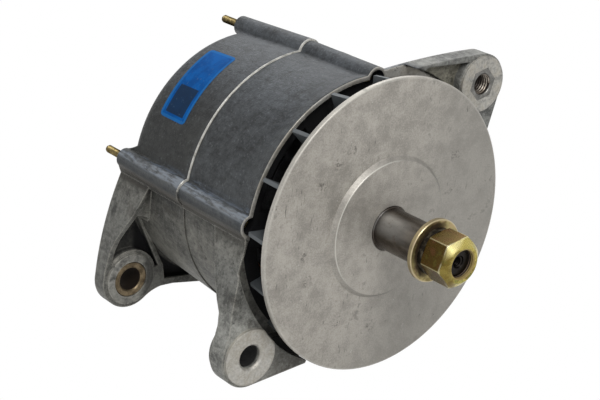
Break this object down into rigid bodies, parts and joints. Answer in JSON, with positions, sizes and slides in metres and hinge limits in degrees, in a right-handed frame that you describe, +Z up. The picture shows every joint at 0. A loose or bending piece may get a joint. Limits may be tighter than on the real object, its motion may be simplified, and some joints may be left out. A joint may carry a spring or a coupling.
{
  "type": "vehicle alternator",
  "caption": "Heavy-duty belt-driven alternator with a claw-pole rotor, disc fan, two-foot mounting, adjusting ear, internal rectifier, brushes and regulator.",
  "frame": {"origin": "on the shaft's axis where the pulley's hub meets the face of the fan's hub", "axes": "+Y back along the shaft from the pulley end to the slip rings, -Y the way the pulley comes off, +Z up, +X to the right seen from the pulley end"},
  "size_m": [0.2178, 0.2597, 0.2051],
  "materials": {
    "cast_aluminium": "sand-textured die casting, matt",
    "fan_aluminium": "cast, lightly turned, satin",
    "shaft_steel": "ground, lightly tarnished",
    "bearing_steel": "ground and polished",
    "plain_steel": "machined",
    "yellow_zinc": "yellow zinc plated",
    "clear_zinc": "clear zinc plated",
    "pole_steel": "forged, oiled",
    "lamination_steel": "stacked sheet, varnished",
    "winding_copper": "enamelled wire, varnished",
    "copper": "bare, turned",
    "sink_aluminium": "pressed sheet",
    "diode_metal": "nickel plated",
    "black_plastic": "moulded",
    "red_plastic": "moulded",
    "carbon": "pressed carbon",
    "spring_steel": "drawn wire"
  },
  "bodies": {
    "housing": {"drive_end_shield": "cast_aluminium", "slip_ring_end_shield": "cast_aluminium", "front_bearing_outer_race": "bearing_steel", "rear_bearing_outer_race": "bearing_steel", "bearing_retainer": "plain_steel", "ear_thread_insert": "plain_steel", "through_screws": "yellow_zinc", "retainer_screws": "clear_zinc", "brush_holder_screws": "clear_zinc", "regulator_screws": "clear_zinc", "rectifier_screws": "clear_zinc", "negative_terminal": "clear_zinc", "signal_terminal": "clear_zinc", "terminal_nuts": "clear_zinc", "stator_core": "lamination_steel", "stator_winding": "winding_copper", "positive_terminal": "copper", "positive_heat_sink": "sink_aluminium", "negative_heat_sink": "sink_aluminium", "positive_diodes": "diode_metal", "negative_diodes": "diode_metal", "brush_holder": "black_plastic", "voltage_regulator": "black_plastic", "slip_ring_cap": "black_plastic", "rectifier_standoffs": "black_plastic", "positive_insulator": "red_plastic", "signal_insulator": "red_plastic", "front_brush_spring": "spring_steel", "rear_brush_spring": "spring_steel"},
    "rotor": {"shaft": "shaft_steel", "fan": "fan_aluminium", "fan_spacer": "plain_steel", "front_bearing_inner_race": "bearing_steel", "rear_bearing_inner_race": "bearing_steel", "front_claw_pole": "pole_steel", "rear_claw_pole": "pole_steel", "coil_bobbin": "black_plastic", "field_coil": "winding_copper", "slip_ring_hub": "black_plastic", "slip_rings": "copper"},
    "front_ball_set": {"front_bearing_cage": "bearing_steel"},
    "rear_ball_set": {"rear_bearing_cage": "bearing_steel"},
    "pulley_fastening": {"pulley_washer": "yellow_zinc", "pulley_spring_washer": "yellow_zinc", "pulley_nut": "yellow_zinc"},
    "front_brush_body": {"front_brush": "carbon"},
    "rear_brush_body": {"rear_brush": "carbon"},
    "foot_bush": {"rear_foot_bush": "plain_steel"}
  },
  "joints": [
    {"name": "rotor_spin", "type": "hinge", "parent": "housing", "child": "rotor", "pos_m": [0, 0, 0], "axis": [0, 1, 0], "continuous": true},
    {"name": "front_ball_set_spin", "type": "hinge", "parent": "housing", "child": "front_ball_set", "pos_m": [0, 0.0495, 0], "axis": [0, 1, 0], "continuous": true},
    {"name": "rear_ball_set_spin", "type": "hinge", "parent": "housing", "child": "rear_ball_set", "pos_m": [0, 0.1555, 0], "axis": [0, 1, 0], "continuous": true},
    {"name": "pulley_fastening_slide", "type": "slide", "parent": "rotor", "child": "pulley_fastening", "axis": [0, -1, 0], "range_m": [0, 0.12]},
    {"name": "front_brush_slide", "type": "slide", "parent": "housing", "child": "front_brush_body", "axis": [0, 0, 1], "range_m": [0, 0.003], "stiffness_N_per_m": 150, "springref_m": -0.008, "deforming": ["front_brush_spring"]},
    {"name": "rear_brush_slide", "type": "slide", "parent": "housing", "child": "rear_brush_body", "axis": [0, 0, 1], "range_m": [0, 0.003], "stiffness_N_per_m": 150, "springref_m": -0.008, "deforming": ["rear_brush_spring"]},
    {"name": "foot_bush_slide", "type": "slide", "parent": "housing", "child": "foot_bush", "axis": [0, 1, 0], "range_m": [-0.0015, 0.003]}
  ],
  "couplings": [
    {"joint": "front_ball_set_spin", "follows": "rotor_spin", "ratio": 0.3794},
    {"joint": "rear_ball_set_spin", "follows": "rotor_spin", "ratio": 0.3678}
  ]
}
